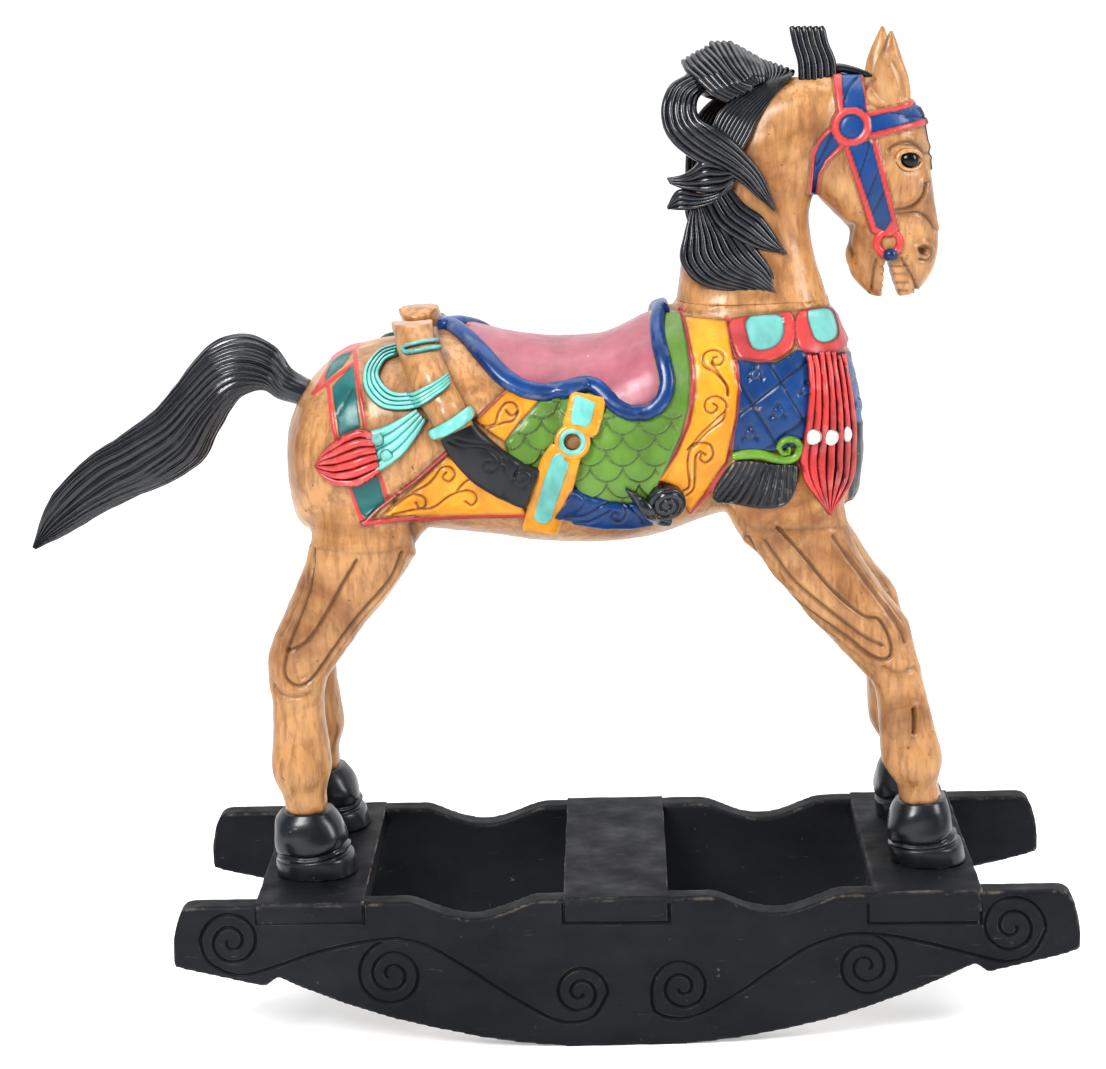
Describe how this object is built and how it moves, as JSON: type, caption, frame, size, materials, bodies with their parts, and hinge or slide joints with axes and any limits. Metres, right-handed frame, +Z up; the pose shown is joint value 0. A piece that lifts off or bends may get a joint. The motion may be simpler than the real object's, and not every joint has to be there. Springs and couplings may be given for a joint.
{
  "type": "rocking horse",
  "caption": "Carved wooden horse with saddle, breast collar, bridle and fluted mane and tail, standing on a low stand with two curved rocker boards.",
  "frame": {"origin": "middle of the bounding box in plan, at floor level under the rocker boards", "axes": "+X towards the horse's head, +Y towards the horse's left, +Z up"},
  "size_m": [1.1266, 0.35, 1.0658],
  "materials": {
    "carved_wood": "stained and varnished, painted trappings",
    "black_paint": "glossy black paint over wood, worn at the edges"
  },
  "bodies": {
    "root": {"body": "carved_wood", "head_and_neck": "carved_wood", "tail": "black_paint", "hind_leg_right": "carved_wood", "hind_leg_left": "carved_wood", "foreleg_right": "carved_wood", "foreleg_left": "carved_wood", "rocker_right": "black_paint", "rocker_left": "black_paint", "rear_platform": "black_paint", "middle_footboard": "black_paint", "front_platform": "black_paint"}
  },
  "joints": []
}
